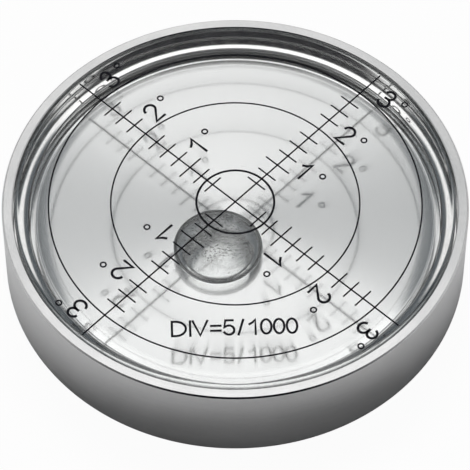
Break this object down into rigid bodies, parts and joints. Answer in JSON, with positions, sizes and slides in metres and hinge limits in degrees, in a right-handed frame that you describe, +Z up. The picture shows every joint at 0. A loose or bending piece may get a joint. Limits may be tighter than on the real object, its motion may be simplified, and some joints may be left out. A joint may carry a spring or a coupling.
{
  "type": "bullseye level",
  "caption": "Round bubble level for setting a surface level both ways: a clear vial with a ringed, graduated dial in a turned metal housing.",
  "frame": {"origin": "centre of the flat base, on the axis of the round housing", "axes": "+Z up, along the housing's axis and out of the dial; the crosshair's arms lie at 45 degrees to X and Y, and the legend on the dial is on the -Y side"},
  "size_m": [0.06, 0.06, 0.012],
  "materials": {
    "turned_aluminium": "fine turned satin",
    "clear_adhesive": "cured clear adhesive",
    "clear_acrylic": "clear gloss",
    "bright_disc": "bright, finely turned",
    "level_liquid": "clear liquid",
    "black_ink": "printed ink"
  },
  "bodies": {
    "root": {"housing": "turned_aluminium", "adhesive_ring": "clear_adhesive", "vial": "clear_acrylic", "reflector_disc": "bright_disc", "liquid": "level_liquid", "scale_print": "black_ink"}
  },
  "joints": []
}
